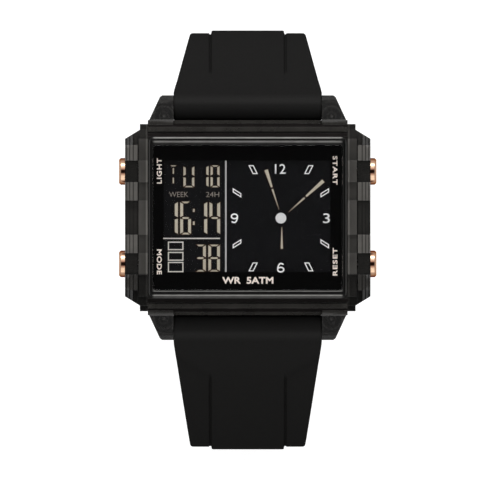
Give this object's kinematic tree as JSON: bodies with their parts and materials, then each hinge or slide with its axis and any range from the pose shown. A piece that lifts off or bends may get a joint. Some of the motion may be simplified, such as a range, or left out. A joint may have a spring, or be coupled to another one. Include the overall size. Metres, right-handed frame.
{
  "type": "digital watch",
  "caption": "Rectangular digital wristwatch with a smoke plastic case, side pushers, a two-part resin strap and a pin buckle.",
  "frame": {"origin": "centre of the case back's outer face", "axes": "+Z out of the dial, +Y to twelve o'clock, +X to three o'clock"},
  "size_m": [0.045, 0.0739, 0.0626],
  "materials": {
    "smoke_plastic": "polished translucent smoke",
    "smoke_bezel": "polished translucent smoke",
    "crystal_glass": "polished, dark",
    "black_rubber": "matt",
    "dial_print": "printed black",
    "display_film": "smooth film",
    "display_glass": "polished",
    "light_plastic": "diffusing white",
    "connector_rubber": "striped silicone",
    "module_plastic": "moulded",
    "holder_plastic": "moulded",
    "board": "solder mask",
    "contact_brass": "plated spring sheet",
    "steel": "fine machined",
    "cell_steel": "bright",
    "back_steel": "straight brushed",
    "rose_metal": "polished rose gold plating",
    "strap_resin": "fine matt resin",
    "buckle_black": "black plating, satin"
  },
  "bodies": {
    "case": {"case_middle": "smoke_plastic", "bezel": "smoke_bezel", "crystal": "crystal_glass", "crystal_gasket": "black_rubber", "dial_mask": "dial_print", "lcd_front_polariser": "display_film", "lcd_front_glass": "display_glass", "lcd_rear_glass": "display_glass", "lcd_reflector": "display_film", "light_panel": "light_plastic", "light_led": "light_plastic", "zebra_strips": "connector_rubber", "lcd_frame": "module_plastic", "circuit_board": "board", "driver_chip": "holder_plastic", "board_parts": "board", "quartz_can": "steel", "pusher_contacts": "contact_brass", "coin_cell": "cell_steel", "cell_contact": "contact_brass", "cell_clip": "steel", "battery_holder": "holder_plastic", "module_screws": "steel", "buzzer_disc": "contact_brass", "buzzer_spring": "contact_brass", "back_gasket": "black_rubber", "case_back": "back_steel", "case_back_screws": "steel", "pusher_seals": "black_rubber", "lug_bar_barrels": "steel", "lug_bar_tips": "steel", "spring_light": "steel", "spring_mode": "steel", "spring_start": "steel", "spring_reset": "steel"},
    "light_pusher": {"pusher_light": "rose_metal", "clip_light": "steel"},
    "mode_pusher": {"pusher_mode": "rose_metal", "clip_mode": "steel"},
    "start_pusher": {"pusher_start": "rose_metal", "clip_start": "steel"},
    "reset_pusher": {"pusher_reset": "rose_metal", "clip_reset": "steel"},
    "buckle_half_1": {"upper_strap_1": "strap_resin"},
    "buckle_half_2": {"upper_strap_2": "strap_resin"},
    "buckle_half_3": {"upper_strap_3": "strap_resin", "fixed_keeper": "strap_resin"},
    "hole_half_1": {"lower_strap_1": "strap_resin"},
    "hole_half_2": {"lower_strap_2": "strap_resin"},
    "hole_half_3": {"lower_strap_3": "strap_resin"},
    "hole_half_4": {"lower_strap_4": "strap_resin"},
    "free_keeper": {"free_keeper": "strap_resin"},
    "buckle": {"buckle_bar": "buckle_black", "buckle_frame": "buckle_black"},
    "tongue": {"buckle_tongue": "buckle_black"}
  },
  "joints": [
    {"name": "light_press", "type": "slide", "parent": "case", "child": "light_pusher", "axis": [1, 0, 0], "range_m": [0, 0.0009], "stiffness_N_per_m": 1500, "deforming": ["spring_light"]},
    {"name": "mode_press", "type": "slide", "parent": "case", "child": "mode_pusher", "axis": [1, 0, 0], "range_m": [0, 0.0009], "stiffness_N_per_m": 1500, "deforming": ["spring_mode"]},
    {"name": "start_press", "type": "slide", "parent": "case", "child": "start_pusher", "axis": [-1, 0, 0], "range_m": [0, 0.0009], "stiffness_N_per_m": 1500, "deforming": ["spring_start"]},
    {"name": "reset_press", "type": "slide", "parent": "case", "child": "reset_pusher", "axis": [-1, 0, 0], "range_m": [0, 0.0009], "stiffness_N_per_m": 1500, "deforming": ["spring_reset"]},
    {"name": "buckle_half_root", "type": "hinge", "parent": "case", "child": "buckle_half_1", "pos_m": [0, 0.0198, 0.0046], "axis": [1, 0, 0], "range_deg": [-1, 40], "stiffness_Nm_per_rad": 0.15},
    {"name": "buckle_half_flex_1", "type": "hinge", "parent": "buckle_half_1", "child": "buckle_half_2", "pos_m": [0, 0.03074, -0.00723], "axis": [1, 0, 0], "range_deg": [-1, 30], "stiffness_Nm_per_rad": 0.08},
    {"name": "buckle_half_flex_2", "type": "hinge", "parent": "buckle_half_2", "child": "buckle_half_3", "pos_m": [0, 0.0282, -0.02872], "axis": [1, 0, 0], "range_deg": [-1, 30], "stiffness_Nm_per_rad": 0.08},
    {"name": "hole_half_root", "type": "hinge", "parent": "case", "child": "hole_half_1", "pos_m": [0, -0.0198, 0.0046], "axis": [-1, 0, 0], "range_deg": [-1, 40], "stiffness_Nm_per_rad": 0.15},
    {"name": "hole_half_flex_1", "type": "hinge", "parent": "hole_half_1", "child": "hole_half_2", "pos_m": [0, -0.03735, -0.01032], "axis": [-1, 0, 0], "range_deg": [-1, 30], "stiffness_Nm_per_rad": 0.08},
    {"name": "hole_half_flex_2", "type": "hinge", "parent": "hole_half_2", "child": "hole_half_3", "pos_m": [0, -0.039, -0.03311], "axis": [-1, 0, 0], "range_deg": [-1, 30], "stiffness_Nm_per_rad": 0.08},
    {"name": "hole_half_flex_3", "type": "hinge", "parent": "hole_half_3", "child": "hole_half_4", "pos_m": [0, -0.02539, -0.04951], "axis": [-1, 0, 0], "range_deg": [-1, 30], "stiffness_Nm_per_rad": 0.08},
    {"name": "keeper_slide", "type": "slide", "parent": "buckle_half_3", "child": "free_keeper", "axis": [0, 0.2924, 0.9563], "range_m": [0, 0.0055]},
    {"name": "buckle_hinge", "type": "hinge", "parent": "buckle_half_3", "child": "buckle", "pos_m": [0, 0.022, -0.04901], "axis": [1, 0, 0], "range_deg": [-20, 100]},
    {"name": "tongue_hinge", "type": "hinge", "parent": "buckle", "child": "tongue", "pos_m": [0, 0.022, -0.04901], "axis": [1, 0, 0], "range_deg": [0, 70]}
  ]
}
